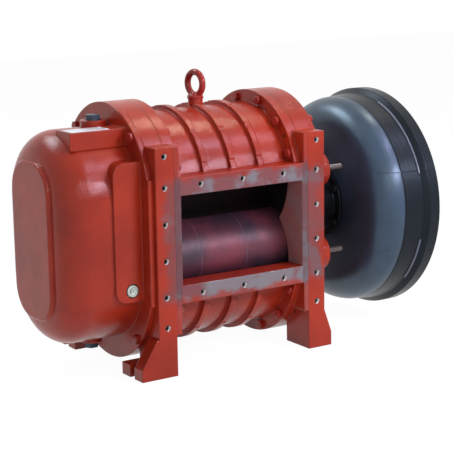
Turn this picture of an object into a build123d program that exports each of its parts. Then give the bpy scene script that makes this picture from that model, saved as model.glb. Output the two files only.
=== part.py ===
from build123d import *
import math
import os

os.makedirs("parts", exist_ok=True)

# Roots vacuum pump. X runs along the rotor shafts from the gear cover to the drive end, Y runs
# through the pump from port to port, Z is up. All lengths are millimetres.
middle_x = -43.0  # middle of the casing along the shafts
middle_z = 280.0  # mid height between the two rotor shafts, above the soles of the feet

shaft_offset = 91.0  # each rotor shaft lies this far above or below mid height
bore_radius = 136.9
casing_half = 165.0  # casing joint faces on either side of the middle
port_half_depth = 190.0  # port flange faces in front and behind

flange_radius = 180.0
barrel_radius = 153.0
rib_radius = 162.0
flange_thickness = 25.0
plate_thickness = 43.0
joint_bolt_circle = 166.0
joint_bolt_angles = (15, 43, 70)

port_width = 300.0
port_height = 186.0
port_hole_radius = 6.0
port_hole_depth = 26.0
column_x = 187.5
column_rows = (37.5, 112.5, 176.0)
row_columns = (-102.0, 0.0, 102.0)
row_z = 112.5

cover_radius = 147.0
cover_offset = 76.0
cover_wall = 9.0
cover_end = 387.0
panel_end = 395.0
cover_flange = 12.0

drive_flange = 8.0
drive_face = 268.0
stud_half_pitch = 93.7
stud_end = 328.0
lug_radius = 38.0

guard_base = 336.0
guard_rim = 481.0
guard_body_radius = 236.0
guard_rim_radius = 251.0

seal_bore = 34.0
bearing_outer = 50.0
bearing_width = 25.0
seal_depth = 14.0

gear_module = 6.5
gear_teeth = 28
drive_module = 3.5
input_teeth = 30
pinion_teeth = 22


def across(x):
    """Plane square to the shafts, x from the middle of the casing, facing the drive end."""
    return Plane(origin=(middle_x + x, 0, middle_z), x_dir=(0, 1, 0), z_dir=(1, 0, 0))


def facing_front(depth):
    """Upright plane along the shafts, depth from the rotor plane, extruding to the front."""
    return Plane(origin=(middle_x, depth, middle_z), x_dir=(1, 0, 0), z_dir=(0, -1, 0))


def level(height):
    """Level plane at a height above mid height."""
    return Plane.XY.offset(middle_z + height)


def joint_bolt_points(circle, angles):
    """Bolt positions on the two half circles of the pump's long outline."""
    points = []
    for side in (1, -1):
        for angle in angles:
            for hand in (1, -1):
                y = hand * circle * math.sin(math.radians(angle))
                z = side * (shaft_offset + circle * math.cos(math.radians(angle)))
                points.append((y, z))
    return points


def gear_outline(module, teeth, turn, thinning, height):
    """Involute spur gear outline round a shaft at a height, teeth thinned for backlash."""
    pitch = module * teeth / 2
    base = pitch * math.cos(math.radians(20))
    tip = pitch + module
    root = pitch - 1.25 * module
    half_pitch = math.pi / (2 * teeth) - thinning / pitch
    spread = math.tan(math.radians(20)) - math.radians(20)
    start = max(base, root)
    radii = [start + (tip - start) * share for share in (0.0, 0.5, 1.0)]
    points = []
    for tooth in range(teeth):
        centre = turn + tooth * 2 * math.pi / teeth
        flank = []
        for radius in radii:
            pressure = math.acos(min(1.0, base / radius))
            flank.append((radius, half_pitch + spread - (math.tan(pressure) - pressure)))
        side = [(root, flank[0][1])] + flank
        for radius, half in side:
            angle = centre - half
            points.append((radius * math.cos(angle), height + radius * math.sin(angle)))
        for radius, half in reversed(side):
            angle = centre + half
            points.append((radius * math.cos(angle), height + radius * math.sin(angle)))
    return points


def rotor_outline(turn, clearance, height):
    """Cycloidal two lobe outline round a shaft at a height, set back by the running clearance."""
    rolling = shaft_offset / 4
    points = []
    for quarter in range(4):
        for step in range(12):
            swing = math.radians(-44.99 + 89.98 * (step + 0.5) / 12)
            if quarter % 2 == 0:
                reach = shaft_offset + rolling
                y = reach * math.cos(swing) + rolling * math.cos(5 * swing)
                z = reach * math.sin(swing) + rolling * math.sin(5 * swing)
                out_y = y - shaft_offset * math.cos(swing)
                out_z = z - shaft_offset * math.sin(swing)
            else:
                reach = shaft_offset - rolling
                y = reach * math.cos(swing) - rolling * math.cos(3 * swing)
                z = reach * math.sin(swing) + rolling * math.sin(3 * swing)
                out_y = shaft_offset * math.cos(swing) - y
                out_z = shaft_offset * math.sin(swing) - z
            size = math.hypot(out_y, out_z)
            y = y - clearance * out_y / size
            z = z - clearance * out_z / size
            angle = turn + quarter * math.pi / 2
            points.append(
                (
                    y * math.cos(angle) - z * math.sin(angle),
                    height + y * math.sin(angle) + z * math.cos(angle),
                )
            )
    return points


# Dowels sit on the joint bolt circle, one in the upper front and one in the lower rear quarter.
dowel_y = joint_bolt_circle * math.sin(math.radians(56.5))
dowel_z = shaft_offset + joint_bolt_circle * math.cos(math.radians(56.5))
dowel_points = ((-dowel_y, dowel_z), (dowel_y, -dowel_z))

# Casing: ribbed long barrel with two bores, end flanges and a port flange in front and behind.
with BuildPart() as casing:
    with BuildSketch(across(-casing_half)):
        SlotCenterToCenter(2 * shaft_offset, 2 * barrel_radius, rotation=90)
    extrude(amount=2 * casing_half)
    for start in (-casing_half, casing_half - flange_thickness):
        with BuildSketch(across(start)):
            SlotCenterToCenter(2 * shaft_offset, 2 * flange_radius, rotation=90)
        extrude(amount=flange_thickness)
    for rib in (-68.0, 0.0, 68.0):
        with BuildSketch(across(rib - 7.0)):
            SlotCenterToCenter(2 * shaft_offset, 2 * rib_radius, rotation=90)
        extrude(amount=14.0)
    with BuildSketch(facing_front(port_half_depth)):
        Rectangle(2 * casing_half, 260)
        with Locations((-159.5, 0), (159.5, 0)):
            Rectangle(11, 388)
    extrude(amount=2 * port_half_depth)
    with BuildSketch(level(200)):
        with Locations((middle_x + 6, 0)):
            Circle(16)
    extrude(amount=61.5)
    with BuildSketch(across(-casing_half)):
        with Locations((0, shaft_offset), (0, -shaft_offset)):
            Circle(bore_radius)
    extrude(amount=2 * casing_half, mode=Mode.SUBTRACT)
    with BuildSketch(facing_front(port_half_depth)):
        Rectangle(port_width, port_height)
    extrude(amount=2 * port_half_depth, mode=Mode.SUBTRACT)
    for face_depth in (port_half_depth, -port_half_depth + port_hole_depth):
        with BuildSketch(facing_front(face_depth)):
            for hole_x in row_columns:
                with Locations((hole_x, row_z), (hole_x, -row_z)):
                    Circle(port_hole_radius)
        extrude(amount=port_hole_depth, mode=Mode.SUBTRACT)
    with BuildSketch(across(-casing_half)):
        for point in joint_bolt_points(joint_bolt_circle, joint_bolt_angles):
            with Locations(point):
                Circle(6.2)
    extrude(amount=2 * casing_half, mode=Mode.SUBTRACT)
    with BuildSketch(across(-casing_half)):
        with Locations(*dowel_points):
            Circle(4.1)
    extrude(amount=2 * casing_half, mode=Mode.SUBTRACT)
    with BuildSketch(level(240)):
        with Locations((middle_x + 6, 0)):
            Circle(8.1)
    extrude(amount=30, mode=Mode.SUBTRACT)
casing.part.label = "casing"
export_step(casing.part, "parts/casing.step")

# Gear end plate: bearing seats, the flange bars with their rows of holes, and two slotted feet.
with BuildPart() as gear_end_plate:
    with BuildSketch(facing_front(port_half_depth)):
        Polygon((-166, -280), (-208, -280), (-208, -190), (-166, -190), align=None)
    extrude(amount=2 * port_half_depth)
    with BuildSketch(across(-260)):
        with BuildLine():
            Polyline(
                (-106, -281), (-106, -236), (-147, -200), (-147, -180),
                (147, -180), (147, -200), (106, -236), (106, -281), close=True
            )
        make_face()
    extrude(amount=100, mode=Mode.SUBTRACT)
    for hand in (1, -1):
        with BuildSketch(level(-280)):
            with Locations((middle_x - 208, hand * 148)):
                Rectangle(84, 84)
            with Locations((middle_x - 238, hand * 148)):
                SlotOverall(60, 18, mode=Mode.SUBTRACT)
        extrude(amount=26)
    for start in (190, -158):
        with BuildSketch(facing_front(start)):
            Polygon((-250, -262), (-250, -256), (-214, -198), (-180, -198), (-180, -262), align=None)
        extrude(amount=32)
    with BuildSketch(across(-casing_half - plate_thickness)):
        SlotCenterToCenter(2 * shaft_offset, 2 * flange_radius, rotation=90)
    extrude(amount=plate_thickness)
    with BuildSketch(facing_front(port_half_depth)):
        with Locations((-186.5, 0)):
            Rectangle(43, 388)
    extrude(amount=2 * port_half_depth)
    with BuildSketch(across(-casing_half - plate_thickness)):
        with Locations((0, shaft_offset), (0, -shaft_offset)):
            Circle(seal_bore)
    extrude(amount=plate_thickness, mode=Mode.SUBTRACT)
    with BuildSketch(across(-casing_half - plate_thickness)):
        with Locations((0, shaft_offset), (0, -shaft_offset)):
            Circle(bearing_outer)
    extrude(amount=bearing_width, mode=Mode.SUBTRACT)
    for face_depth in (port_half_depth, -port_half_depth + port_hole_depth):
        with BuildSketch(facing_front(face_depth)):
            for row in column_rows:
                with Locations((-column_x, row), (-column_x, -row)):
                    Circle(port_hole_radius)
        extrude(amount=port_hole_depth, mode=Mode.SUBTRACT)
    with BuildSketch(across(-casing_half - 26)):
        for point in joint_bolt_points(joint_bolt_circle, joint_bolt_angles):
            with Locations(point):
                Circle(6.2)
    extrude(amount=26, mode=Mode.SUBTRACT)
    with BuildSketch(across(-casing_half - 18)):
        with Locations(*dowel_points):
            Circle(4.1)
    extrude(amount=18, mode=Mode.SUBTRACT)
    with BuildSketch(across(-casing_half - plate_thickness)):
        for point in joint_bolt_points(168, (45,)):
            with Locations(point):
                Circle(6.2)
    extrude(amount=16, mode=Mode.SUBTRACT)
gear_end_plate.part.label = "gear_end_plate"
export_step(gear_end_plate.part, "parts/gear_end_plate.step")

# Drive end plate: as the gear end plate, with narrower feet and a pilot seat for the input shaft.
with BuildPart() as drive_end_plate:
    with BuildSketch(facing_front(port_half_depth)):
        Polygon((166, -280), (207.5, -280), (207.5, -190), (166, -190), align=None)
    extrude(amount=2 * port_half_depth)
    with BuildSketch(across(160)):
        with BuildLine():
            Polyline(
                (-106, -281), (-106, -236), (-147, -200), (-147, -180),
                (147, -180), (147, -200), (106, -236), (106, -281), close=True
            )
        make_face()
    extrude(amount=100, mode=Mode.SUBTRACT)
    for hand in (1, -1):
        with BuildSketch(level(-280)):
            with Locations((middle_x + 196, hand * 148)):
                Rectangle(60, 84)
        extrude(amount=30)
        with BuildSketch(level(-280)):
            with Locations((middle_x + 222, hand * 148)):
                SlotOverall(40, 18)
        extrude(amount=30, mode=Mode.SUBTRACT)
    for start in (190, -158):
        with BuildSketch(facing_front(start)):
            Polygon((226, -262), (226, -250), (207.5, -198), (180, -198), (180, -262), align=None)
        extrude(amount=32)
    with BuildSketch(across(casing_half)):
        SlotCenterToCenter(2 * shaft_offset, 2 * flange_radius, rotation=90)
    extrude(amount=plate_thickness)
    with BuildSketch(facing_front(port_half_depth)):
        with Locations((186.25, 0)):
            Rectangle(42.5, 388)
    extrude(amount=2 * port_half_depth)
    with BuildSketch(across(casing_half)):
        with Locations((0, shaft_offset), (0, -shaft_offset)):
            Circle(seal_bore)
    extrude(amount=plate_thickness, mode=Mode.SUBTRACT)
    with BuildSketch(across(casing_half + plate_thickness - bearing_width)):
        with Locations((0, shaft_offset), (0, -shaft_offset)):
            Circle(bearing_outer)
    extrude(amount=bearing_width, mode=Mode.SUBTRACT)
    with BuildSketch(across(casing_half + plate_thickness - 20)):
        Circle(31)
    extrude(amount=20, mode=Mode.SUBTRACT)
    for face_depth in (port_half_depth, -port_half_depth + port_hole_depth):
        with BuildSketch(facing_front(face_depth)):
            for row in column_rows:
                with Locations((column_x, row), (column_x, -row)):
                    Circle(port_hole_radius)
        extrude(amount=port_hole_depth, mode=Mode.SUBTRACT)
    with BuildSketch(across(casing_half)):
        for point in joint_bolt_points(joint_bolt_circle, joint_bolt_angles):
            with Locations(point):
                Circle(6.2)
    extrude(amount=26, mode=Mode.SUBTRACT)
    with BuildSketch(across(casing_half)):
        with Locations(*dowel_points):
            Circle(4.1)
    extrude(amount=18, mode=Mode.SUBTRACT)
    with BuildSketch(across(casing_half + plate_thickness - 16)):
        for point in joint_bolt_points(168, (45,)):
            with Locations(point):
                Circle(6.2)
    extrude(amount=16, mode=Mode.SUBTRACT)
drive_end_plate.part.label = "drive_end_plate"
export_step(drive_end_plate.part, "parts/drive_end_plate.step")

# Gear cover: deep cast oil housing with a rounded end, raised panel, pads, bosses and a flange.
with BuildPart() as gear_cover:
    with BuildSketch(across(-cover_end)):
        SlotCenterToCenter(2 * cover_offset, 2 * cover_radius, rotation=90)
    extrude(amount=cover_end - casing_half - plate_thickness)
    fillet(gear_cover.faces().sort_by(Axis.X)[0].edges(), radius=62)
    offset(amount=-cover_wall, openings=gear_cover.faces().sort_by(Axis.X)[-1])
    with BuildSketch(across(-panel_end)):
        RectangleRounded(167, 330, 66)
    panel = extrude(amount=10)
    fillet(panel.faces().sort_by(Axis.X)[0].edges(), radius=6)
    with BuildSketch(across(-casing_half - plate_thickness - cover_flange)):
        SlotCenterToCenter(2 * shaft_offset, 2 * flange_radius, rotation=90)
        Rectangle(362, 260)
        SlotCenterToCenter(2 * cover_offset, 2 * cover_radius - 14, rotation=90, mode=Mode.SUBTRACT)
    extrude(amount=cover_flange)
    with BuildSketch(facing_front(-110)):
        with Locations((-248, 22)):
            RectangleRounded(70, 286, 26)
        with Locations((-230, 22)):
            Rectangle(34, 286)
    extrude(amount=42)
    with BuildSketch(level(190)):
        with Locations((middle_x - 281.5, -66)):
            Rectangle(129, 62)
    extrude(amount=37)
    with BuildSketch(level(200)):
        with Locations((middle_x - 250, -14)):
            Circle(27)
    extrude(amount=38)
    with BuildSketch(level(-228)):
        with Locations((middle_x - 272, -14)):
            Circle(22)
    extrude(amount=20)
    with BuildSketch(across(-cover_end + 62)):
        SlotCenterToCenter(2 * cover_offset, 2 * (cover_radius - cover_wall), rotation=90)
    extrude(amount=cover_end - 62 - casing_half - plate_thickness, mode=Mode.SUBTRACT)
    with BuildSketch(level(205)):
        with Locations((middle_x - 250, -14)):
            Circle(12.1)
    extrude(amount=40, mode=Mode.SUBTRACT)
    with BuildSketch(level(-240)):
        with Locations((middle_x - 272, -14)):
            Circle(12.1)
    extrude(amount=40, mode=Mode.SUBTRACT)
    with BuildSketch(facing_front(-120)):
        with Locations((-245, -97)):
            Circle(15.1)
    extrude(amount=40, mode=Mode.SUBTRACT)
    with BuildSketch(across(-casing_half - plate_thickness - cover_flange)):
        for point in joint_bolt_points(168, (45,)):
            with Locations(point):
                Circle(6.2)
    extrude(amount=cover_flange, mode=Mode.SUBTRACT)
gear_cover.part.label = "gear_cover"
export_step(gear_cover.part, "parts/gear_cover.step")

# Drive cover: flange, long gear chamber, round nose for the input bearing and four stud lugs.
with BuildPart() as drive_cover:
    plate_face = casing_half + plate_thickness
    with BuildSketch(across(plate_face)):
        SlotCenterToCenter(2 * shaft_offset, 2 * flange_radius - 4, rotation=90)
    extrude(amount=drive_flange)
    with BuildSketch(across(plate_face)):
        SlotCenterToCenter(2 * shaft_offset, 146, rotation=90)
        Circle(92)
    extrude(amount=drive_face - plate_face)
    fillet(drive_cover.faces().sort_by(Axis.X)[-1].edges(), radius=8)
    with BuildSketch(across(plate_face)):
        for y in (stud_half_pitch, -stud_half_pitch):
            with Locations((y, stud_half_pitch), (y, -stud_half_pitch)):
                Circle(lug_radius)
    extrude(amount=drive_face - plate_face)
    with BuildSketch(across(plate_face)):
        SlotCenterToCenter(2 * shaft_offset, 130, rotation=90)
    extrude(amount=30, mode=Mode.SUBTRACT)
    with BuildSketch(across(plate_face + 30)):
        with Locations((0, -45.5)):
            SlotCenterToCenter(91, 122, rotation=90)
    extrude(amount=16, mode=Mode.SUBTRACT)
    with BuildSketch(across(plate_face)):
        Circle(21)
    extrude(amount=drive_face - plate_face, mode=Mode.SUBTRACT)
    with BuildSketch(across(drive_face - 24)):
        Circle(45)
    extrude(amount=24, mode=Mode.SUBTRACT)
    with BuildSketch(across(drive_face - 22)):
        for y in (stud_half_pitch, -stud_half_pitch):
            with Locations((y, stud_half_pitch), (y, -stud_half_pitch)):
                Circle(6.1)
    extrude(amount=22, mode=Mode.SUBTRACT)
    with BuildSketch(across(drive_face - 14)):
        with PolarLocations(53.5, 6):
            Circle(4.1)
    extrude(amount=14, mode=Mode.SUBTRACT)
    with BuildSketch(across(plate_face)):
        for point in joint_bolt_points(168, (45,)):
            with Locations(point):
                Circle(6.2)
    extrude(amount=drive_flange, mode=Mode.SUBTRACT)
drive_cover.part.label = "drive_cover"
export_step(drive_cover.part, "parts/drive_cover.step")

# Guard neck: flanged ring on the nose of the drive cover that carries the guard.
with BuildPart() as guard_neck:
    with BuildSketch(across(drive_face)):
        Circle(66)
        Circle(47, mode=Mode.SUBTRACT)
    extrude(amount=8)
    with BuildSketch(across(drive_face + 8)):
        Circle(66)
        Circle(60, mode=Mode.SUBTRACT)
    extrude(amount=guard_base - drive_face - 8)
    with BuildSketch(across(guard_base - 7)):
        Circle(86)
        Circle(60, mode=Mode.SUBTRACT)
    extrude(amount=7)
    with BuildSketch(across(drive_face)):
        with PolarLocations(53.5, 6):
            Circle(4.1)
    extrude(amount=8, mode=Mode.SUBTRACT)
    with BuildSketch(across(guard_base - 7)):
        with PolarLocations(76, 6, start_angle=30):
            Circle(4.1)
    extrude(amount=7, mode=Mode.SUBTRACT)
guard_neck.part.label = "guard_neck"
export_step(guard_neck.part, "parts/guard_neck.step")

# Drive guard: moulded bowl round the shaft end, closed towards the pump.
with BuildPart() as drive_guard:
    with BuildSketch(Plane(origin=(middle_x, 0, middle_z), x_dir=(1, 0, 0), z_dir=(0, -1, 0))):
        with BuildLine():
            Line((guard_base, 60), (guard_base, 176))
            CenterArc((guard_base + 60, 176), 60, 90, 90)
            Line((guard_base + 60, guard_body_radius), (guard_base + 60, guard_body_radius - 6))
            CenterArc((guard_base + 60, 176), 54, 90, 90)
            Line((guard_base + 6, 176), (guard_base + 6, 60))
            Line((guard_base + 6, 60), (guard_base, 60))
        make_face()
    revolve(axis=Axis((middle_x, 0, middle_z), (1, 0, 0)))
    with BuildSketch(across(guard_base)):
        with PolarLocations(76, 6, start_angle=30):
            Circle(4.1)
    extrude(amount=6, mode=Mode.SUBTRACT)
drive_guard.part.label = "drive_guard"
export_step(drive_guard.part, "parts/drive_guard.step")

# Guard band: moulded ring that carries the bowl on to the open end, stepped out to a wider rim.
with BuildPart() as guard_band:
    with BuildSketch(Plane(origin=(middle_x, 0, middle_z), x_dir=(1, 0, 0), z_dir=(0, -1, 0))):
        with BuildLine():
            Polyline(
                (guard_base + 60, guard_body_radius),
                (guard_rim - 38, guard_body_radius + 4),
                (guard_rim - 26, guard_rim_radius),
                (guard_rim, guard_rim_radius),
                (guard_rim, guard_rim_radius - 6),
                (guard_rim - 23, guard_rim_radius - 6),
                (guard_rim - 35, guard_body_radius - 2),
                (guard_base + 60, guard_body_radius - 6),
                close=True
            )
        make_face()
    revolve(axis=Axis((middle_x, 0, middle_z), (1, 0, 0)))
guard_band.part.label = "guard_band"
export_step(guard_band.part, "parts/guard_band.step")

# Lower rotor, one piece with its shaft; the drive end of the shaft carries the pinion.
with BuildPart() as lower_rotor:
    with BuildSketch(across(-164.7)):
        with BuildLine():
            Spline(*rotor_outline(math.radians(150), 0.4, -shaft_offset), periodic=True)
        make_face()
    extrude(amount=329.4)
    for start, radius, length in (
        (-183, 30, 366),
        (-214, 22.5, 428),
        (-290, 20, 542),
    ):
        with BuildSketch(across(start)):
            with Locations((0, -shaft_offset)):
                Circle(radius)
        extrude(amount=length)
lower_rotor.part.label = "lower_rotor"
export_step(lower_rotor.part, "parts/lower_rotor.step")

# Upper rotor, a quarter turn out of step with the lower one, with a shorter shaft.
with BuildPart() as upper_rotor:
    with BuildSketch(across(-164.7)):
        with BuildLine():
            Spline(*rotor_outline(math.radians(120), 0.4, shaft_offset), periodic=True)
        make_face()
    extrude(amount=329.4)
    for start, radius, length in ((-183, 30, 366), (-214, 22.5, 426), (-281, 20, 100)):
        with BuildSketch(across(start)):
            with Locations((0, shaft_offset)):
                Circle(radius)
        extrude(amount=length)
upper_rotor.part.label = "upper_rotor"
export_step(upper_rotor.part, "parts/upper_rotor.step")

# Timing gears, one on each rotor shaft at the gear end.
with BuildPart() as lower_timing_gear:
    with BuildSketch(across(-264)):
        with BuildLine():
            Polyline(
                *gear_outline(gear_module, gear_teeth, math.pi / 2, 0.15, -shaft_offset),
                close=True
            )
        make_face()
    extrude(amount=36)
    with BuildSketch(across(-266)):
        with Locations((0, -shaft_offset)):
            Circle(33)
    extrude(amount=48)
    with BuildSketch(across(-266)):
        with Locations((0, -shaft_offset)):
            Circle(20.02)
    extrude(amount=48, mode=Mode.SUBTRACT)
    with BuildSketch(across(-218)):
        with Locations((0, -shaft_offset)):
            Circle(22.6)
    extrude(amount=-4, mode=Mode.SUBTRACT)
lower_timing_gear.part.label = "lower_timing_gear"
export_step(lower_timing_gear.part, "parts/lower_timing_gear.step")

with BuildPart() as upper_timing_gear:
    with BuildSketch(across(-264)):
        with BuildLine():
            upper_turn = (1 / gear_teeth - 0.5) * math.pi
            Polyline(
                *gear_outline(gear_module, gear_teeth, upper_turn, 0.15, shaft_offset), close=True
            )
        make_face()
    extrude(amount=36)
    with BuildSketch(across(-266)):
        with Locations((0, shaft_offset)):
            Circle(33)
    extrude(amount=48)
    with BuildSketch(across(-266)):
        with Locations((0, shaft_offset)):
            Circle(20.02)
    extrude(amount=48, mode=Mode.SUBTRACT)
upper_timing_gear.part.label = "upper_timing_gear"
export_step(upper_timing_gear.part, "parts/upper_timing_gear.step")

# Hexagon nuts that hold the timing gears and the pinion on their shafts.
with BuildPart() as lower_gear_nut:
    with BuildSketch(across(-279)):
        with Locations((0, -shaft_offset)):
            RegularPolygon(31, 6)
            Circle(20.02, mode=Mode.SUBTRACT)
    extrude(amount=13)
lower_gear_nut.part.label = "lower_gear_nut"
export_step(lower_gear_nut.part, "parts/lower_gear_nut.step")

with BuildPart() as upper_gear_nut:
    with BuildSketch(across(-279)):
        with Locations((0, shaft_offset)):
            RegularPolygon(31, 6)
            Circle(20.02, mode=Mode.SUBTRACT)
    extrude(amount=13)
upper_gear_nut.part.label = "upper_gear_nut"
export_step(upper_gear_nut.part, "parts/upper_gear_nut.step")

# Disc on the lower shaft that dips in the oil and throws it over the gears.
with BuildPart() as oil_splash_disc:
    with BuildSketch(across(-283)):
        with Locations((0, -shaft_offset)):
            Circle(112)
    extrude(amount=4)
    with BuildSketch(across(-288)):
        with Locations((0, -shaft_offset)):
            Circle(30)
    extrude(amount=5)
    with BuildSketch(across(-288)):
        with Locations((0, -shaft_offset)):
            Circle(20.02)
    extrude(amount=9, mode=Mode.SUBTRACT)
oil_splash_disc.part.label = "oil_splash_disc"
export_step(oil_splash_disc.part, "parts/oil_splash_disc.step")

# Sealed rolling bearings: the outer races stay in the plates, the inner races turn.
with BuildPart() as bearing_outer_rings:
    for start in (-208, 183):
        with BuildSketch(across(start)):
            for height in (shaft_offset, -shaft_offset):
                with Locations((0, height)):
                    Circle(49.95)
                    Circle(31.2, mode=Mode.SUBTRACT)
        extrude(amount=bearing_width)
    with BuildSketch(across(188.5)):
        Circle(30.95)
        Circle(19, mode=Mode.SUBTRACT)
    extrude(amount=17)
    with BuildSketch(across(244.5)):
        Circle(44.95)
        Circle(29, mode=Mode.SUBTRACT)
    extrude(amount=18)
bearing_outer_rings.part.label = "bearing_outer_rings"
export_step(bearing_outer_rings.part, "parts/bearing_outer_rings.step")

with BuildPart() as lower_bearing_inner_rings:
    for start in (-208, 183):
        with BuildSketch(across(start)):
            with Locations((0, -shaft_offset)):
                Circle(30.9)
                Circle(22.52, mode=Mode.SUBTRACT)
        extrude(amount=bearing_width)
lower_bearing_inner_rings.part.label = "lower_bearing_inner_rings"
export_step(lower_bearing_inner_rings.part, "parts/lower_bearing_inner_rings.step")

with BuildPart() as upper_bearing_inner_rings:
    for start in (-208, 183):
        with BuildSketch(across(start)):
            with Locations((0, shaft_offset)):
                Circle(30.9)
                Circle(22.52, mode=Mode.SUBTRACT)
        extrude(amount=bearing_width)
upper_bearing_inner_rings.part.label = "upper_bearing_inner_rings"
export_step(upper_bearing_inner_rings.part, "parts/upper_bearing_inner_rings.step")

with BuildPart() as input_bearing_inner_rings:
    with BuildSketch(across(188.5)):
        Circle(18.7)
        Circle(12.52, mode=Mode.SUBTRACT)
    extrude(amount=17)
    with BuildSketch(across(244.5)):
        Circle(28.7)
        Circle(20.02, mode=Mode.SUBTRACT)
    extrude(amount=18)
input_bearing_inner_rings.part.label = "input_bearing_inner_rings"
export_step(input_bearing_inner_rings.part, "parts/input_bearing_inner_rings.step")

# Seal bushes between the pumping space and the bearings.
with BuildPart() as shaft_seals:
    for start in (-179.5, 165.5):
        with BuildSketch(across(start)):
            for height in (shaft_offset, -shaft_offset):
                with Locations((0, height)):
                    Circle(33.95)
                    Circle(30.15, mode=Mode.SUBTRACT)
        extrude(amount=seal_depth)
shaft_seals.part.label = "shaft_seals"
export_step(shaft_seals.part, "parts/shaft_seals.step")

# Retaining plates that hold the outer races in the end plates.
with BuildPart() as bearing_caps:
    for start in (-213, 208):
        with BuildSketch(across(start)):
            for height in (shaft_offset, -shaft_offset):
                with Locations((0, height)):
                    Circle(62 if start < 0 else 58)
                    Circle(36, mode=Mode.SUBTRACT)
        extrude(amount=5)
bearing_caps.part.label = "bearing_caps"
export_step(bearing_caps.part, "parts/bearing_caps.step")

# Pinion on the lower rotor shaft and its nut.
with BuildPart() as drive_pinion:
    with BuildSketch(across(218)):
        with BuildLine():
            Polyline(
                *gear_outline(drive_module, pinion_teeth, math.pi / 2, 0.12, -shaft_offset),
                close=True
            )
        make_face()
        with Locations((0, -shaft_offset)):
            Circle(20.02, mode=Mode.SUBTRACT)
    extrude(amount=22)
drive_pinion.part.label = "drive_pinion"
export_step(drive_pinion.part, "parts/drive_pinion.step")

with BuildPart() as pinion_nut:
    with BuildSketch(across(240.2)):
        with Locations((0, -shaft_offset)):
            RegularPolygon(29, 6)
            Circle(20.02, mode=Mode.SUBTRACT)
    extrude(amount=11)
pinion_nut.part.label = "pinion_nut"
export_step(pinion_nut.part, "parts/pinion_nut.step")

# Input shaft at mid height with a keyway in its free end, and the gear that drives the pinion.
with BuildPart() as input_shaft:
    for start, radius, length in ((189, 12.5, 20), (207, 20, 93), (300, 19, 80)):
        with BuildSketch(across(start)):
            Circle(radius)
        extrude(amount=length)
    chamfer(input_shaft.faces().sort_by(Axis.X)[-1].edges(), length=1.5)
    keyway_turn = math.radians(36)
    keyway_up = (0, math.sin(keyway_turn), math.cos(keyway_turn))
    with BuildSketch(
        Plane(origin=(middle_x + 340, 0, middle_z), x_dir=(1, 0, 0), z_dir=keyway_up).offset(14)
    ):
        SlotOverall(63, 10)
    extrude(amount=8, mode=Mode.SUBTRACT)
input_shaft.part.label = "input_shaft"
export_step(input_shaft.part, "parts/input_shaft.step")

with BuildPart() as input_gear:
    with BuildSketch(across(218)):
        with BuildLine():
            input_turn = (1 / input_teeth - 0.5) * math.pi
            Polyline(
                *gear_outline(drive_module, input_teeth, input_turn, 0.12, 0.0), close=True
            )
        make_face()
        Circle(20.02, mode=Mode.SUBTRACT)
    extrude(amount=22)
input_gear.part.label = "input_gear"
export_step(input_gear.part, "parts/input_gear.step")

# Lip seal round the input shaft in the nose of the drive cover.
with BuildPart() as input_shaft_seal:
    with BuildSketch(across(262.6)):
        Circle(44.95)
        Circle(20.15, mode=Mode.SUBTRACT)
    extrude(amount=5.4)
input_shaft_seal.part.label = "input_shaft_seal"
export_step(input_shaft_seal.part, "parts/input_shaft_seal.step")

# Casing bolts: hexagon heads on the casing flanges, shanks into the end plates.
with BuildPart() as gear_end_bolts:
    bolt_places = joint_bolt_points(joint_bolt_circle, joint_bolt_angles)
    with BuildSketch(across(-casing_half - 22)):
        for point in bolt_places:
            with Locations(point):
                Circle(6)
    extrude(amount=22 + flange_thickness)
    with BuildSketch(across(-casing_half + flange_thickness)):
        for point in bolt_places:
            with Locations(point):
                RegularPolygon(9, 6, major_radius=False)
    extrude(amount=7.5)
gear_end_bolts.part.label = "gear_end_bolts"
export_step(gear_end_bolts.part, "parts/gear_end_bolts.step")

with BuildPart() as drive_end_bolts:
    bolt_places = joint_bolt_points(joint_bolt_circle, joint_bolt_angles)
    with BuildSketch(across(casing_half - flange_thickness)):
        for point in bolt_places:
            with Locations(point):
                Circle(6)
    extrude(amount=22 + flange_thickness)
    with BuildSketch(across(casing_half - flange_thickness - 7.5)):
        for point in bolt_places:
            with Locations(point):
                RegularPolygon(9, 6, major_radius=False)
    extrude(amount=7.5)
drive_end_bolts.part.label = "drive_end_bolts"
export_step(drive_end_bolts.part, "parts/drive_end_bolts.step")

# Dowel pins that line the end plates up with the casing, driven in below the flange faces.
with BuildPart() as dowel_pins:
    for start in (-casing_half - 17, casing_half - flange_thickness + 4):
        with BuildSketch(across(start)):
            with Locations(*dowel_points):
                Circle(4)
        extrude(amount=38)
dowel_pins.part.label = "dowel_pins"
export_step(dowel_pins.part, "parts/dowel_pins.step")

# Cover bolts: hexagon heads on the two cover flanges.
with BuildPart() as gear_cover_bolts:
    bolt_places = joint_bolt_points(168, (45,))
    with BuildSketch(across(-casing_half - plate_thickness - cover_flange)):
        for point in bolt_places:
            with Locations(point):
                Circle(6)
    extrude(amount=cover_flange + 14)
    with BuildSketch(across(-casing_half - plate_thickness - cover_flange - 7.5)):
        for point in bolt_places:
            with Locations(point):
                RegularPolygon(9, 6, major_radius=False)
    extrude(amount=7.5)
gear_cover_bolts.part.label = "gear_cover_bolts"
export_step(gear_cover_bolts.part, "parts/gear_cover_bolts.step")

with BuildPart() as drive_cover_bolts:
    bolt_places = joint_bolt_points(168, (45,))
    with BuildSketch(across(casing_half + plate_thickness - 14)):
        for point in bolt_places:
            with Locations(point):
                Circle(6)
    extrude(amount=drive_flange + 14)
    with BuildSketch(across(casing_half + plate_thickness + drive_flange)):
        for point in bolt_places:
            with Locations(point):
                RegularPolygon(9, 6, major_radius=False)
    extrude(amount=7.5)
drive_cover_bolts.part.label = "drive_cover_bolts"
export_step(drive_cover_bolts.part, "parts/drive_cover_bolts.step")

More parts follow.
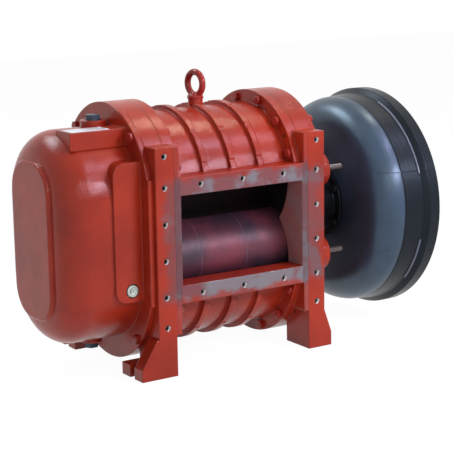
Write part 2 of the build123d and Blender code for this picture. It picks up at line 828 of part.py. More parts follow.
# Four studs for the drive motor flange.
with BuildPart() as drive_studs:
    with BuildSketch(across(drive_face - 21)):
        for y in (stud_half_pitch, -stud_half_pitch):
            with Locations((y, stud_half_pitch), (y, -stud_half_pitch)):
                Circle(6)
    extrude(amount=stud_end - drive_face + 21)
    chamfer(drive_studs.faces().group_by(Axis.X)[-1].edges(), length=1.2)
drive_studs.part.label = "drive_studs"
export_step(drive_studs.part, "parts/drive_studs.step")

# Screws that hold the guard neck on the nose of the drive cover.
with BuildPart() as guard_screws:
    with BuildSketch(across(drive_face - 13)):
        with PolarLocations(53.5, 6):
            Circle(4)
    extrude(amount=21)
    with BuildSketch(across(drive_face + 8)):
        with PolarLocations(53.5, 6):
            Circle(6)
    extrude(amount=8)
guard_screws.part.label = "guard_screws"
export_step(guard_screws.part, "parts/guard_screws.step")

# Screws that hold the guard on the flange of its neck.
with BuildPart() as hood_screws:
    with BuildSketch(across(guard_base - 7)):
        with PolarLocations(76, 6, start_angle=30):
            Circle(4)
    extrude(amount=13)
    with BuildSketch(across(guard_base + 6)):
        with PolarLocations(76, 6, start_angle=30):
            Circle(7)
    extrude(amount=4)
    with BuildSketch(across(guard_base - 12)):
        with PolarLocations(76, 6, start_angle=30):
            RegularPolygon(6.5, 6, major_radius=False)
    extrude(amount=5)
hood_screws.part.label = "hood_screws"
export_step(hood_screws.part, "parts/hood_screws.step")

# Lifting eye bolt on the casing: collar, neck and ring, the ring a little off square.
with BuildPart() as eye_bolt:
    seat = 261.5
    with BuildSketch(level(seat - 20)):
        with Locations((middle_x + 6, 0)):
            Circle(8)
    extrude(amount=20)
    with BuildSketch(level(seat)):
        with Locations((middle_x + 6, 0)):
            Circle(17.5)
    extrude(amount=9)
    chamfer(eye_bolt.faces().sort_by(Axis.Z)[-1].edges(), length=4, length2=2.5)
    swing = math.radians(98)
    turned = (math.cos(swing), math.sin(swing), 0)
    with BuildSketch(
        Plane(origin=(middle_x + 6, 0, middle_z + seat + 32), x_dir=turned, z_dir=(0, 0, 1))
    ):
        with Locations((24.5, 0)):
            Circle(7)
    revolve(
        axis=Axis((middle_x + 6, 0, middle_z + seat + 32), (-turned[1], turned[0], 0))
    )
eye_bolt.part.label = "eye_bolt"
export_step(eye_bolt.part, "parts/eye_bolt.step")

# Oil sight glass, filler plug, drain plug and the blank nameplate on the gear cover.
with BuildPart() as oil_sight_glass:
    with BuildSketch(facing_front(-140)):
        with Locations((-245, -97)):
            Circle(15)
    extrude(amount=11)
    with BuildSketch(facing_front(-151)):
        with Locations((-245, -97)):
            Circle(15)
            Circle(10.5, mode=Mode.SUBTRACT)
    extrude(amount=2.5)
oil_sight_glass.part.label = "oil_sight_glass"
export_step(oil_sight_glass.part, "parts/oil_sight_glass.step")

with BuildPart() as filler_plug:
    with BuildSketch(level(222)):
        with Locations((middle_x - 250, -14)):
            Circle(12)
    extrude(amount=16)
    with BuildSketch(level(238)):
        with Locations((middle_x - 250, -14)):
            Circle(16)
    extrude(amount=3)
    with BuildSketch(level(241)):
        with Locations((middle_x - 250, -14)):
            RegularPolygon(13.5, 6, major_radius=False)
    extrude(amount=8)
filler_plug.part.label = "filler_plug"
export_step(filler_plug.part, "parts/filler_plug.step")

with BuildPart() as drain_plug:
    with BuildSketch(level(-228)):
        with Locations((middle_x - 272, -14)):
            Circle(12)
    extrude(amount=14)
    with BuildSketch(level(-231)):
        with Locations((middle_x - 272, -14)):
            Circle(17)
    extrude(amount=3)
    with BuildSketch(level(-240)):
        with Locations((middle_x - 272, -14)):
            RegularPolygon(13.5, 6, major_radius=False)
    extrude(amount=9)
drain_plug.part.label = "drain_plug"
export_step(drain_plug.part, "parts/drain_plug.step")

with BuildPart() as nameplate:
    with BuildSketch(level(227)):
        with Locations((middle_x - 299, -74)):
            RectangleRounded(88, 42, 3)
    extrude(amount=1)
nameplate.part.label = "nameplate"
export_step(nameplate.part, "parts/nameplate.step")
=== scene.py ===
import math

import bpy
from mathutils import Matrix, Vector


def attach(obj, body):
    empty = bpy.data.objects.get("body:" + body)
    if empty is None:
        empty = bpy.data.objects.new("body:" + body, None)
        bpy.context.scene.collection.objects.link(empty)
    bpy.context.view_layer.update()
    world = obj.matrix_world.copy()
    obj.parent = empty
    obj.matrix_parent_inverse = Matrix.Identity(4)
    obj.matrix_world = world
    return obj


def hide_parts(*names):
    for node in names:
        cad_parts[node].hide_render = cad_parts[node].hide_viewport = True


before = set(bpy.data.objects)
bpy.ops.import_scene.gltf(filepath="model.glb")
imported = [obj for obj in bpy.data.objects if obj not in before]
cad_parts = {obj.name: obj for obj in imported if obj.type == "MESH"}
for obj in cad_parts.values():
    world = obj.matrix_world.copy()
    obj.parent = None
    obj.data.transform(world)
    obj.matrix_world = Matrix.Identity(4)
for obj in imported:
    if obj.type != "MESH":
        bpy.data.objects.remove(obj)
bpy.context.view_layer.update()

# Camera: stands in front of the pump at the gear end, a little above the lifting eye.
# A long lens, about three metres off, a hair out of level.
yaw, pitch, roll = math.radians(32.81), math.radians(11.51), math.radians(0.98)
forward = Vector(
    (math.sin(yaw) * math.cos(pitch), math.cos(yaw) * math.cos(pitch), -math.sin(pitch))
)
level_right = Vector((math.cos(yaw), -math.sin(yaw), 0))
level_down = forward.cross(level_right)
right = math.cos(roll) * level_right + math.sin(roll) * level_down
down = -math.sin(roll) * level_right + math.cos(roll) * level_down
camera_data = bpy.data.cameras.new("camera")
camera_data.sensor_width = 36
camera_data.lens = 115.6
camera = bpy.data.objects.new("camera", camera_data)
bpy.context.collection.objects.link(camera)
turn = Matrix((right, -down, -forward)).transposed().to_4x4()
camera.matrix_world = Matrix.Translation((-1.670, -2.646, 0.8935)) @ turn
bpy.context.scene.camera = camera

# Studio: pale floor and white surround, two window boxes in front on the right, a warm ceiling
# box, a large cool box behind the gear end and a low strip box in front on the left.
bpy.context.scene.view_settings.view_transform = "Standard"


def softbox(name, place, aim, width, height, power, colour):
    """An area lamp that faces its aim."""
    data = bpy.data.lights.new(name, "AREA")
    data.shape = "RECTANGLE"
    data.size, data.size_y = width, height
    data.energy = power
    data.color = colour
    lamp = bpy.data.objects.new(name, data)
    bpy.context.collection.objects.link(lamp)
    way = Vector(aim) - Vector(place)
    facing = way.to_track_quat("-Z", "Y").to_matrix().to_4x4()
    lamp.matrix_world = Matrix.Translation(place) @ facing


softbox("window_light", (0.92, -2.1, 1.42), (-0.15, 0, 0.3), 1.1, 0.11, 35, (0.86, 0.80, 1.0))
softbox("upper_window_light", (1.08, -1.25, 2.35), (-0.1, 0, 0.4), 0.9, 0.4, 15, (0.86, 0.72, 1.0))
softbox("ceiling_light", (1.2, 0.2, 2.8), (0, 0, 0.4), 0.45, 0.2, 11, (1.0, 0.90, 0.72))
softbox("back_light", (-1.0, 1.8, 2.9), (0.3, 0, 0.35), 1.4, 1.0, 50, (0.84, 0.92, 1.0))
softbox("front_light", (-0.6, -2.25, 1.34), (-0.15, 0, 0.3), 1.7, 0.09, 11, (0.95, 0.93, 1.0))



def seen_directly(tree):
    """1 for camera, transmission and glossy rays, which see the plain white backdrop."""
    rays = tree.nodes.new("ShaderNodeLightPath")
    clear = tree.nodes.new("ShaderNodeMath")
    clear.operation = "MAXIMUM"
    tree.links.new(rays.outputs["Is Camera Ray"], clear.inputs[0])
    tree.links.new(rays.outputs["Is Transmission Ray"], clear.inputs[1])
    seen = tree.nodes.new("ShaderNodeMath")
    seen.operation = "MAXIMUM"
    tree.links.new(clear.outputs[0], seen.inputs[0])
    tree.links.new(rays.outputs["Is Glossy Ray"], seen.inputs[1])
    return seen.outputs[0]


world = bpy.data.worlds.new("surround")
bpy.context.scene.world = world
world.use_nodes = True
tree = world.node_tree
tree.nodes.clear()
glow = tree.nodes.new("ShaderNodeBackground")
glow.inputs["Color"].default_value = (0.93, 0.95, 1.0, 1)
glow.inputs["Strength"].default_value = 0.22
white = tree.nodes.new("ShaderNodeBackground")
white.inputs["Color"].default_value = (1, 1, 1, 1)
mix = tree.nodes.new("ShaderNodeMixShader")
out = tree.nodes.new("ShaderNodeOutputWorld")
tree.links.new(seen_directly(tree), mix.inputs[0])
tree.links.new(glow.outputs[0], mix.inputs[1])
tree.links.new(white.outputs[0], mix.inputs[2])
tree.links.new(mix.outputs[0], out.inputs[0])

bpy.ops.object.select_all(action="DESELECT")
bpy.ops.mesh.primitive_plane_add(size=14, location=(0, 0, -0.0004))
floor = bpy.context.object
floor.name = "floor"
paper = bpy.data.materials.new("floor_paper")
paper.use_nodes = True
tree = paper.node_tree
tree.nodes.clear()
part_seen = tree.nodes.new("ShaderNodeMath")
part_seen.operation = "MULTIPLY"
part_seen.inputs[1].default_value = 0.9
cloth = tree.nodes.new("ShaderNodeBsdfDiffuse")
cloth.inputs["Color"].default_value = (0.8, 0.8, 0.8, 1)
lit = tree.nodes.new("ShaderNodeEmission")
lit.inputs["Strength"].default_value = 1.07
mix = tree.nodes.new("ShaderNodeMixShader")
out = tree.nodes.new("ShaderNodeOutputMaterial")
tree.links.new(seen_directly(tree), part_seen.inputs[0])
tree.links.new(part_seen.outputs[0], mix.inputs[0])
tree.links.new(cloth.outputs[0], mix.inputs[1])
tree.links.new(lit.outputs[0], mix.inputs[2])
tree.links.new(mix.outputs[0], out.inputs[0])
floor.data.materials.append(paper)

# Casing and end plates: sand castings in oxide red paint, sprayed thick over a grainy skin.
# Their joint faces were masked badly, so the paint is thin there and bare iron shows. The port
# opens into the rotor bores of bare iron, coloured near black inside as painted shade, and so are
# the end plates' inner walls.


def colour(red, green, blue):
    """Scene colour of a screen colour from 0 to 255."""
    parts = []
    for part in (red, green, blue):
        share = part / 255
        parts.append(share / 12.92 if share <= 0.04045 else ((share + 0.055) / 1.055) ** 2.4)
    return (*parts, 1.0)


class Finish:
    """A material whose nodes are laid one after another."""

    def __init__(self, name):
        self.material = bpy.data.materials.new(name)
        self.material.use_nodes = True
        self.nodes = self.material.node_tree.nodes
        self.links = self.material.node_tree.links
        self.shader = self.nodes["Principled BSDF"]
        self.place = self.nodes.new("ShaderNodeTexCoord").outputs["Object"]

    def noise(self, scale, detail=4.0, rough=0.55, stretch=(1, 1, 1)):
        """Noise from 0 to 1 on the piece's own place."""
        mapping = self.nodes.new("ShaderNodeMapping")
        mapping.inputs["Scale"].default_value = stretch
        self.links.new(self.place, mapping.inputs["Vector"])
        noise = self.nodes.new("ShaderNodeTexNoise")
        noise.inputs["Scale"].default_value = scale
        noise.inputs["Detail"].default_value = detail
        noise.inputs["Roughness"].default_value = rough
        self.links.new(mapping.outputs[0], noise.inputs["Vector"])
        return noise.outputs["Fac"]

    def math(self, operation, first, second=0.0, third=0.5):
        """One sum of two or three sockets or numbers."""
        node = self.nodes.new("ShaderNodeMath")
        node.operation = operation
        for slot, value in enumerate((first, second, third)):
            if isinstance(value, (int, float)):
                node.inputs[slot].default_value = value
            else:
                self.links.new(value, node.inputs[slot])
        return node.outputs[0]

    def times(self, first, second):
        """Product of two masks or numbers."""
        return self.math("MULTIPLY", first, second)

    def rest(self, mask):
        """What a mask leaves over: 1 where it is 0."""
        return self.math("SUBTRACT", 1.0, mask)

    def away(self, value, middle):
        """How far a coordinate lies from a middle, on either side."""
        return self.math("ABSOLUTE", self.math("SUBTRACT", value, middle))

    def radius(self, first, second):
        """Distance from an axis, from the two coordinates across it."""
        squares = self.math("ADD", self.times(first, first), self.times(second, second))
        return self.math("POWER", squares, 0.5)

    def between(self, value, low, high):
        """0 below low, 1 above high, smooth between."""
        node = self.nodes.new("ShaderNodeMapRange")
        node.interpolation_type = "SMOOTHSTEP"
        node.inputs["From Min"].default_value = low
        node.inputs["From Max"].default_value = high
        self.links.new(value, node.inputs["Value"])
        return node.outputs[0]

    def blend(self, share, first, second):
        """Mix of two colours, each a socket or a colour."""
        node = self.nodes.new("ShaderNodeMix")
        node.data_type = "RGBA"
        for slot, value in ((0, share), (6, first), (7, second)):
            if isinstance(value, (int, float, tuple)):
                node.inputs[slot].default_value = value
            else:
                self.links.new(value, node.inputs[slot])
        return node.outputs[2]

    def axis(self, which):
        """One coordinate of the piece's own place."""
        node = self.nodes.new("ShaderNodeSeparateXYZ")
        self.links.new(self.place, node.inputs[0])
        return node.outputs[which]

    def bump(self, height, distance, strength=1.0):
        """Raises the surface by a height map."""
        node = self.nodes.new("ShaderNodeBump")
        node.inputs["Distance"].default_value = distance
        node.inputs["Strength"].default_value = strength
        self.links.new(height, node.inputs["Height"])
        if self.shader.inputs["Normal"].is_linked:
            self.links.new(self.shader.inputs["Normal"].links[0].from_socket, node.inputs["Normal"])
        self.links.new(node.outputs[0], self.shader.inputs["Normal"])

    def round_edges(self, radius):
        """Shades the edges as if they were rounded, as thick paint leaves them."""
        node = self.nodes.new("ShaderNodeBevel")
        node.samples = 6
        node.inputs["Radius"].default_value = radius
        self.links.new(node.outputs[0], self.shader.inputs["Normal"])

    def put(self, socket, value):
        """Sets or links a socket of the shader."""
        if isinstance(value, (int, float, tuple)):
            self.shader.inputs[socket].default_value = value
        else:
            self.links.new(value, self.shader.inputs[socket])


def red_paint(name, bright, dark, grain=1.0, gloss=0.26):
    """Oxide red enamel on a cast skin: cloudy colour, orange peel and small pits."""
    paint = Finish(name)
    paint.round_edges(0.004)
    clouds = paint.between(paint.noise(7.0, 3.0), 0.32, 0.68)
    paint.red = paint.blend(clouds, dark, bright)
    specks = paint.between(paint.noise(420.0, 2.0), 0.62, 0.78)
    paint.red = paint.blend(paint.times(specks, 0.35), paint.red, colour(205, 92, 76))
    paint.put("Base Color", paint.red)
    paint.put("Roughness", paint.math("MULTIPLY_ADD", paint.noise(30.0), 0.12, gloss))
    paint.put("Specular IOR Level", 0.05)
    paint.put("Coat Weight", 0.46)
    paint.put("Coat Roughness", 0.11)
    paint.bump(paint.noise(60.0, 2.0, 0.5), 0.0006 * grain, 0.5)
    paint.bump(paint.noise(290.0, 2.0, 0.6), 0.0007 * grain, 0.8)
    skin = paint.shader.inputs["Normal"].links[0].from_socket
    paint.put("Coat Normal", skin)
    return paint


def dress(node, finish):
    """Gives a built part its finish."""
    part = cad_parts[node]
    for slot in part.material_slots:
        slot.material = finish.material


def bare_patch(paint, share, grey, brown):
    """Thin overspray over machined iron where share is 1, with brighter rubbed patches."""
    worn = paint.between(paint.noise(11.0, 4.0, 0.6), 0.50, 0.64)
    paint.red = paint.blend(share, paint.red, paint.blend(worn, brown, grey))
    paint.put("Metallic", paint.times(share, paint.times(worn, 0.35)))


bright_red, deep_red = colour(175, 51, 26), colour(151, 41, 23)
dark_iron_and_shade = colour(34, 32, 34)
pump_middle, shaft_level = -0.043, 0.28
rotor_offset = 0.091
joint_face_from, joint_face_to = 0.1893, 0.1898

paint = red_paint("red_casing_paint", bright_red, deep_red)
along = paint.away(paint.axis(0), pump_middle)
depth = paint.math("ABSOLUTE", paint.axis(1))
height = paint.away(paint.axis(2), shaft_level)
wander = paint.times(paint.math("SUBTRACT", paint.noise(24.0), 0.5), 0.05)
face = paint.between(depth, joint_face_from, joint_face_to)
rubbed = paint.between(paint.math("ADD", height, wander), 0.116, 0.130)
rubbed = paint.times(face, paint.rest(paint.times(rubbed, 0.85)))
bare_patch(paint, rubbed, colour(126, 124, 128), colour(130, 76, 76))
low_bar = paint.between(paint.axis(2), 0.20, 0.19)
low_bar = paint.times(low_bar, paint.between(paint.axis(0), -0.160, -0.120))
blotches = paint.between(paint.noise(18.0), 0.36, 0.5)
low_bar = paint.times(paint.times(low_bar, rubbed), blotches)
paint.red = paint.blend(paint.times(low_bar, 0.85), paint.red, colour(132, 130, 130))
strip = paint.times(face, paint.between(along, 0.1500, 0.1508))
strip = paint.times(strip, paint.rest(paint.between(height, 0.118, 0.150)))
paint.red = paint.blend(paint.times(strip, 0.5), paint.red, colour(88, 66, 70))
across_port = paint.rest(paint.between(along, 0.1503, 0.1508))
up_port = paint.rest(paint.between(height, 0.0915, 0.0925))
inside = paint.times(paint.times(across_port, up_port), paint.rest(face))
port_wall = paint.blend(
    paint.between(paint.noise(13.0), 0.35, 0.65), colour(176, 112, 104), colour(168, 128, 126)
)
paint.red = paint.blend(inside, paint.red, port_wall)
# Painted shade: the bores inside the port are coloured near black, for the shade deep inside the
# pump.
bore = paint.radius(paint.math("SUBTRACT", height, rotor_offset), depth)
bore = paint.rest(paint.between(bore, 0.1372, 0.1378))
paint.put("Base Color", paint.blend(bore, paint.red, dark_iron_and_shade))
dress("casing", paint)

for plate, plate_name, edge in (
    ("gear_end_plate", "red_gear_plate_paint", 0.176),
    ("drive_end_plate", "red_drive_plate_paint", 0.190),
):
    paint = red_paint(plate_name, bright_red, deep_red)
    wander = paint.times(paint.math("SUBTRACT", paint.noise(20.0), 0.5), 0.07)
    from_middle = paint.away(paint.axis(0), pump_middle)
    along = paint.math("ADD", from_middle, wander)
    depth = paint.math("ABSOLUTE", paint.axis(1))
    height = paint.math("ADD", paint.away(paint.axis(2), shaft_level), wander)
    face = paint.between(depth, joint_face_from, joint_face_to)
    face = paint.times(face, paint.rest(paint.between(height, 0.105, 0.140)))
    face = paint.times(face, paint.rest(paint.between(along, edge, edge + 0.022)))
    bare_patch(paint, paint.times(face, 0.8), colour(108, 94, 98), colour(126, 70, 68))
    # Painted shade: the plates' inner walls inside the bores are coloured near black, for the shade
    # inside the pump.
    inner = paint.rest(paint.between(from_middle, 0.1655, 0.1660))
    inner = paint.times(inner, paint.rest(paint.between(depth, 0.139, 0.141)))
    paint.put("Base Color", paint.blend(inner, paint.red, dark_iron_and_shade))
    dress(plate, paint)

# Covers: the deep domed oil cover of the timing gears and the flatter cover of the drive.
# Both are cast and sprayed with the casing. The domed one has the coarser skin.
dress("gear_cover", red_paint("red_cover_paint", bright_red, deep_red, 1.1))
dress("drive_cover", red_paint("red_drive_cover_paint", bright_red, deep_red))

# Flange bolts: hexagon heads in rows round both ends, sprayed over with the castings.
# Their paint lies smoother than on the cast skin and a shade deeper.
bolt_paint = red_paint("red_bolt_paint", colour(176, 52, 40), colour(140, 36, 30), 0.5)
for node in ("gear_end_bolts", "drive_end_bolts", "gear_cover_bolts", "drive_cover_bolts"):
    dress(node, bolt_paint)

# Lifting eye: a forged ring bolt on top of the casing, painted with the pump.
# It is forged smooth, so its paint shines a little more.
dress("eye_bolt", red_paint("red_eye_paint", colour(178, 50, 42), colour(140, 36, 32), 0.6, 0.24))

# Rotors: machined cast iron, dark with baked oil and a red bloom of rust. The lower one shows two
# fine turned lines round its lobes. The upper one stands deep in the dark: its colours are painted
# shade, much darker than the lower one's, and it shines less.
for rotor, rotor_name, first, second, shine in (
    ("lower_rotor", "rotor_iron", colour(58, 46, 58), colour(124, 58, 70), 0.4),
    # Painted shade: the upper rotor's colours are far darker than the lower one's because it lies
    # in the dark.
    ("upper_rotor", "upper_rotor_shaded_iron", colour(24, 22, 25), colour(44, 26, 30), 0.15),
):
    iron = Finish(rotor_name)
    film = iron.between(iron.noise(9.0, 5.0, 0.55), 0.34, 0.72)
    iron.red = iron.blend(film, first, second)
    iron.put("Metallic", 0.15)
    iron.put("Specular IOR Level", shine)
    iron.put("Roughness", iron.math("MULTIPLY_ADD", iron.noise(40.0), 0.2, 0.34))
    iron.bump(iron.noise(260.0, 2.0, 0.5, (1, 0.1, 0.1)), 0.0005)
    if rotor == "lower_rotor":
        gear_side, drive_side = (
            iron.rest(iron.between(iron.away(iron.axis(0), place), 0.0003, 0.0011))
            for place in (-0.1065, 0.0065)
        )
        marks = iron.math("MAXIMUM", gear_side, drive_side)
        iron.red = iron.blend(iron.times(marks, 0.55), iron.red, colour(130, 118, 136))
        iron.bump(marks, -0.0006)
    iron.put("Base Color", iron.red)
    dress(rotor, iron)

# Guard: a black moulded bowl with a satin skin, its outer band and the neck that carries it. The
# bowl's colour is a painted reflection: blue grey for its broad cool sheen.
# A parting line runs round where bowl and band meet, and two mould split lines run along it.
for part_name, slot_name, first, second, shine in (
    # Painted reflection: the bowl's blue grey colours stand in for the cool sheen on its shoulder;
    # the bowl itself is black like its band.
    ("drive_guard", "black_guard", colour(38, 52, 64), colour(54, 70, 88), 0.75),
    ("guard_neck", "neck_paint", colour(12, 12, 14), colour(22, 23, 26), 0.4),
    ("guard_band", "black_band", colour(14, 15, 18), colour(24, 26, 31), 0.25),
):
    skin = Finish(slot_name)
    skin.round_edges(0.003)
    haze = skin.between(skin.noise(9.0, 5.0, 0.6), 0.3, 0.7)
    along = skin.axis(0)
    joint = skin.rest(skin.between(skin.away(along, 0.353), 0.0006, 0.0018))
    split = skin.away(skin.away(skin.axis(2), shaft_level), 0.088)
    split = skin.rest(skin.between(split, 0.0004, 0.0013))
    split = skin.times(split, skin.between(along, 0.300, 0.305))
    lines = skin.math("MAXIMUM", joint, skin.times(split, 0.7))
    skin.put("Base Color", skin.blend(lines, skin.blend(haze, first, second), colour(6, 6, 7)))
    skin.put("Roughness", skin.math("MULTIPLY_ADD", skin.noise(22.0), 0.16, 0.24))
    skin.put("Specular IOR Level", shine)
    skin.put("Specular Tint", (0.62, 0.82, 1.0, 1.0))
    skin.bump(skin.noise(500.0, 2.0), 0.0002)
    skin.bump(skin.noise(130.0, 2.0, 0.5, (1, 0.03, 0.03)), 0.0004)
    skin.bump(lines, -0.0009)
    dress(part_name, skin)

# Rim beads: short raised welts moulded on the guard's outer band, each side of its split.
# They stiffen the rim where the two mould halves meet.
bead_x, bead_circle, bead_radius = 0.3985, 0.2405, 0.0028
# Painted highlight: the beads are coloured light blue grey for the highlight along each welt; they
# are black like the band.
painted_highlight_bead = Finish("painted_highlight_bead")
bead_highlight_grey = painted_highlight_bead.blend(
    painted_highlight_bead.noise(120.0), colour(72, 78, 90), colour(118, 124, 138)
)
painted_highlight_bead.put("Base Color", bead_highlight_grey)
painted_highlight_bead.put("Roughness", 0.3)
for name, first, last in (
    ("rim_bead_upper_front", 20, 70), ("rim_bead_lower_front", 106, 132),
    ("rim_bead_upper_rear", -70, -20), ("rim_bead_lower_rear", -132, -106),
):
    bpy.ops.object.select_all(action="DESELECT")
    start = math.radians(first)
    bpy.ops.mesh.primitive_circle_add(
        vertices=12, radius=bead_radius, fill_type="NGON",
        location=(
            bead_x, -bead_circle * math.sin(start), shaft_level + bead_circle * math.cos(start)
        ),
        rotation=(math.pi / 2 + start, 0, 0),
    )
    bead = bpy.context.object
    bead.name = name
    bpy.ops.object.transform_apply(location=True, rotation=True, scale=True)
    bpy.ops.object.mode_set(mode="EDIT")
    bpy.ops.mesh.select_all(action="SELECT")
    bpy.ops.mesh.spin(
        steps=24, angle=math.radians(first - last), center=(bead_x, 0, shaft_level),
        axis=(1, 0, 0), dupli=False,
    )
    bpy.ops.mesh.select_all(action="SELECT")
    bpy.ops.mesh.remove_doubles(threshold=0.000001)
    bpy.ops.mesh.normals_make_consistent(inside=False)
    bpy.ops.object.mode_set(mode="OBJECT")
    bpy.ops.object.shade_smooth_by_angle(angle=math.radians(50))
    bead.data.materials.append(painted_highlight_bead.material)
    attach(bead, "housing")


# Inner works: ground bearing rings, cut gears, turned nuts and shaft, cast bearing caps, black
# screws and rubber lip seals. The input shaft's free end has a dark disc painted on: painted shade
# for a centre hole that is not cut.
def steel(name, first, second, rough, metal=0.9, scale=60.0):
    """Plain steel with a fine turned grain."""
    finish = Finish(name)
    finish.grey = finish.blend(finish.noise(scale), first, second)
    finish.put("Base Color", finish.grey)
    finish.put("Metallic", metal)
    finish.put("Roughness", rough)
    finish.bump(finish.noise(900.0, 2.0), 0.00006)
    return finish


bearing_steel = steel("bearing_steel", colour(190, 190, 192), colour(216, 216, 218), 0.22)
gear_steel = steel("gear_steel", colour(150, 150, 152), colour(184, 182, 180), 0.3)
nut_steel = steel("nut_steel", colour(130, 130, 132), colour(160, 158, 156), 0.4)
for node in (
    "bearing_outer_rings", "lower_bearing_inner_rings", "upper_bearing_inner_rings",
    "input_bearing_inner_rings",
):
    dress(node, bearing_steel)
for node in ("lower_timing_gear", "upper_timing_gear", "drive_pinion", "input_gear"):
    dress(node, gear_steel)
for node in ("lower_gear_nut", "upper_gear_nut", "pinion_nut", "oil_splash_disc", "dowel_pins"):
    dress(node, nut_steel)
shaft_steel = steel("shaft_steel", colour(150, 150, 152), colour(176, 176, 178), 0.3)
shaft_high = shaft_steel.math("SUBTRACT", shaft_steel.axis(2), shaft_level)
from_axis = shaft_steel.radius(shaft_steel.axis(1), shaft_high)
# Painted shade: a dark disc on the shaft's free end stands for the shade in a centre hole.
painted_centre_hole = shaft_steel.times(
    shaft_steel.between(shaft_steel.axis(0), 0.3360, 0.3368),
    shaft_steel.rest(shaft_steel.between(from_axis, 0.0048, 0.0054)),
)
shaft_steel.put("Base Color", shaft_steel.blend(painted_centre_hole, shaft_steel.grey, colour(26, 25, 25)))
dress("input_shaft", shaft_steel)
screw_steel = steel("screw_steel", colour(60, 60, 62), colour(86, 86, 88), 0.4)
dress("guard_screws", screw_steel)
dress("hood_screws", screw_steel)
dress("bearing_caps", steel("cap_iron", colour(92, 92, 94), colour(120, 118, 116), 0.5, 0.7))
seal_rubber = Finish("seal_rubber")
seal_rubber.put(
    "Base Color", seal_rubber.blend(seal_rubber.noise(80.0), colour(20, 20, 20), colour(34, 34, 34))
)
seal_rubber.put("Roughness", 0.6)
dress("shaft_seals", seal_rubber)
dress("input_shaft_seal", seal_rubber)


# Drive end studs: M12 studs screwed into the end plate, their threads bare and a little rusty.
# They stand on a square round the input shaft, where a motor's flange would go.
def turned(name, profile, steps=32, rise=0.0, turns=1, ring=False, bored=False):
    """A piece turned on the lathe about Z; with a rise, a screw thread, cut inside if bored."""
    bpy.ops.object.select_all(action="DESELECT")
    bpy.ops.mesh.primitive_circle_add(vertices=len(profile), radius=0.01)
    piece = bpy.context.object
    piece.name = name
    for point, (radius, height) in zip(piece.data.vertices, profile):
        point.co = (radius, 0, height)
    bpy.ops.object.mode_set(mode="EDIT")
    bpy.ops.mesh.select_mode(type="EDGE")
    bpy.ops.mesh.select_all(action="DESELECT")
    bpy.ops.object.mode_set(mode="OBJECT")
    for edge in piece.data.edges:
        edge.select = not ring and set(edge.vertices) == {0, len(profile) - 1}
    bpy.ops.object.mode_set(mode="EDIT")
    if not ring:
        bpy.ops.mesh.delete(type="EDGE")
    bpy.ops.object.mode_set(mode="OBJECT")
    screw = piece.modifiers.new("turning", "SCREW")
    screw.steps = screw.render_steps = steps
    screw.screw_offset = rise
    screw.iterations = turns
    screw.use_merge_vertices = rise == 0
    screw.merge_threshold = 0.000005
    bpy.ops.object.modifier_apply(modifier="turning")
    bpy.ops.object.mode_set(mode="EDIT")
    bpy.ops.mesh.select_all(action="SELECT")
    bpy.ops.mesh.remove_doubles(threshold=0.000001)
    bpy.ops.mesh.normals_make_consistent(inside=False)
    bpy.ops.object.mode_set(mode="OBJECT")
    outward = sum(
        face.normal.x * face.center.x + face.normal.y * face.center.y
        for face in piece.data.polygons
    )
    if rise and (outward > 0) == bored:
        piece.data.flip_normals()
    return piece


def seat(piece, place, facing=None):
    """Moves a piece's mesh to its place, its Z turned to facing."""
    turn = Vector(facing).to_track_quat("Z", "Y").to_matrix().to_4x4() if facing else Matrix()
    piece.data.transform(Matrix.Translation(place) @ turn)


def copy_at(piece, name, place, facing=None):
    """A copy with its own mesh, seated at its place."""
    copy = piece.copy()
    copy.data = piece.data.copy()
    copy.name = name
    bpy.context.collection.objects.link(copy)
    seat(copy, place, facing)
    return copy


stud_steel = steel("stud_steel", colour(120, 116, 112), colour(168, 164, 160), 0.42, 0.8, 240.0)
pitch = 0.00175
core = turned(
    "stud_core",
    [(0, 0.0005), (0.0051, 0.0005), (0.0051, 0.0795), (0.0042, 0.0808), (0, 0.0808)], 20,
)
thread = turned(
    "stud_thread", [(0.0050, 0), (0.0059, 0.0008), (0.0059, 0.00095), (0.0050, pitch)],
    20, pitch, 45,
)
bpy.ops.object.select_all(action="DESELECT")
core.select_set(True)
thread.select_set(True)
bpy.context.view_layer.objects.active = core
bpy.ops.object.join()
bpy.ops.object.shade_smooth_by_angle(angle=math.radians(40))
stud_foot, stud_offset = 0.204, 0.0937
for number, (side, level) in enumerate(((-1, 1), (-1, -1), (1, 1), (1, -1)), 1):
    place = (stud_foot, side * stud_offset, shaft_level + level * stud_offset)
    stud = copy_at(core, "drive_stud_%d" % number, place, (1, 0, 0))
    stud.data.materials.append(stud_steel.material)
    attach(stud, "housing")
    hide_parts("drive_studs")
bpy.data.objects.remove(core)

# Port threads: the tapped M12 holes round both ports, clean bright metal where the tap has cut.
# They turn dark towards the bottom of the hole, where no light gets in.
bright_thread = steel(
    "bright_thread", colour(176, 172, 170), colour(214, 212, 210), 0.28, 0.7, 200.0
)
deep = bright_thread.math("ABSOLUTE", bright_thread.axis(1))
deep = bright_thread.rest(bright_thread.between(deep, 0.1790, 0.1862))
bright_thread.put("Base Color", bright_thread.blend(deep, bright_thread.grey, colour(18, 16, 16)))
tapped = turned(
    "tapped", [(0.00598, 0), (0.0052, 0.0008), (0.0052, 0.00095), (0.00598, pitch)],
    20, -pitch, 13, bored=True,
)
bpy.ops.object.select_all(action="DESELECT")
tapped.select_set(True)
bpy.context.view_layer.objects.active = tapped
bpy.ops.object.shade_smooth_by_angle(angle=math.radians(40))
end_rows = (-0.176, -0.1125, -0.0375, 0.0375, 0.1125, 0.176)
spots = [(x, z) for x in (-0.1875, 0.1875) for z in end_rows]
spots += [(x, z) for x in (-0.102, 0, 0.102) for z in (-0.1125, 0.1125)]
for side, where in ((-1, "front"), (1, "rear")):
    for number, (x, z) in enumerate(spots, 1):
        place = (x + pump_middle, side * 0.1894, shaft_level + z)
        hole = copy_at(tapped, "%s_port_thread_%02d" % (where, number), place, (0, side, 0))
        hole.data.materials.append(bright_thread.material)
        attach(hole, "housing")
bpy.data.objects.remove(tapped)

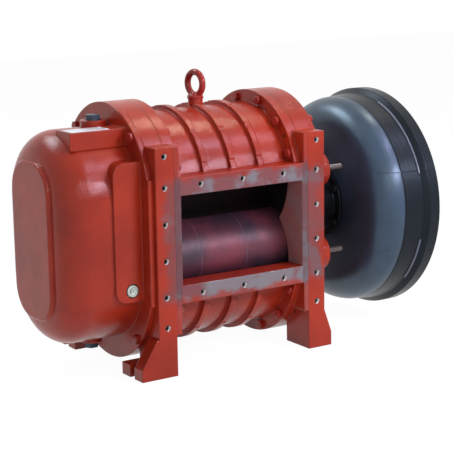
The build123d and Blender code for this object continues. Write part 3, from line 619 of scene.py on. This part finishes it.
# Fittings on the gear cover: a zinc plated sight plug on a rubber gasket, two dark plugs and a
# blank aluminium plate held by four small rivets.
plug_zinc = steel("plug_zinc", colour(170, 186, 176), colour(214, 220, 214), 0.32, 0.85, 200.0)
plug_zinc.bump(plug_zinc.noise(180.0, 3.0), 0.0003)
plug_place = (-0.288, 0, 0.183)
plug = turned("sight_plug", [
    (0, 0.1402), (0.0149, 0.1402), (0.0149, 0.1436), (0.0140, 0.1442), (0.0128, 0.1442),
    (0.0127, 0.1520), (0.0118, 0.1532), (0.0086, 0.1534), (0.0078, 0.1528), (0.0072, 0.1508),
    (0.0040, 0.1500), (0.0034, 0.1480), (0, 0.1478),
], 40)
bpy.ops.object.shade_smooth_by_angle(angle=math.radians(35))
seat(plug, plug_place, (0, -1, 0))
plug.data.materials.append(plug_zinc.material)
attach(plug, "housing")
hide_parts("oil_sight_glass")
gasket = turned("sight_plug_gasket", [
    (0.0141, 0.1400), (0.0158, 0.1400), (0.0158, 0.1412), (0.0141, 0.1412),
], 40, ring=True)
seat(gasket, plug_place, (0, -1, 0))
gasket.data.materials.append(seal_rubber.material)
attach(gasket, "housing")
plug_paint = Finish("plug_paint")
plug_paint.put(
    "Base Color", plug_paint.blend(plug_paint.noise(70.0), colour(30, 44, 56), colour(62, 82, 98))
)
plug_paint.put("Roughness", 0.35)
dress("filler_plug", plug_paint)
dress("drain_plug", plug_paint)
plate_metal = steel(
    "plate_aluminium", colour(206, 210, 216), colour(232, 234, 238), 0.35, 0.7, 90.0
)
dress("nameplate", plate_metal)
rivet = turned("rivet", [
    (0, 0.5078), (0.0019, 0.5078), (0.0019, 0.5081), (0.0016, 0.5087), (0.0009, 0.5091),
    (0, 0.5092),
], 20)
bpy.ops.object.shade_smooth_by_angle(angle=math.radians(50))
plate_x, plate_y = -0.342, -0.074
corners = ((-0.039, -0.016), (-0.039, 0.016), (0.039, -0.016), (0.039, 0.016))
for number, (x, y) in enumerate(corners, 1):
    pin = copy_at(rivet, "plate_rivet_%d" % number, (plate_x + x, plate_y + y, 0))
    pin.data.materials.append(plate_metal.material)
    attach(pin, "housing")
bpy.data.objects.remove(rivet)
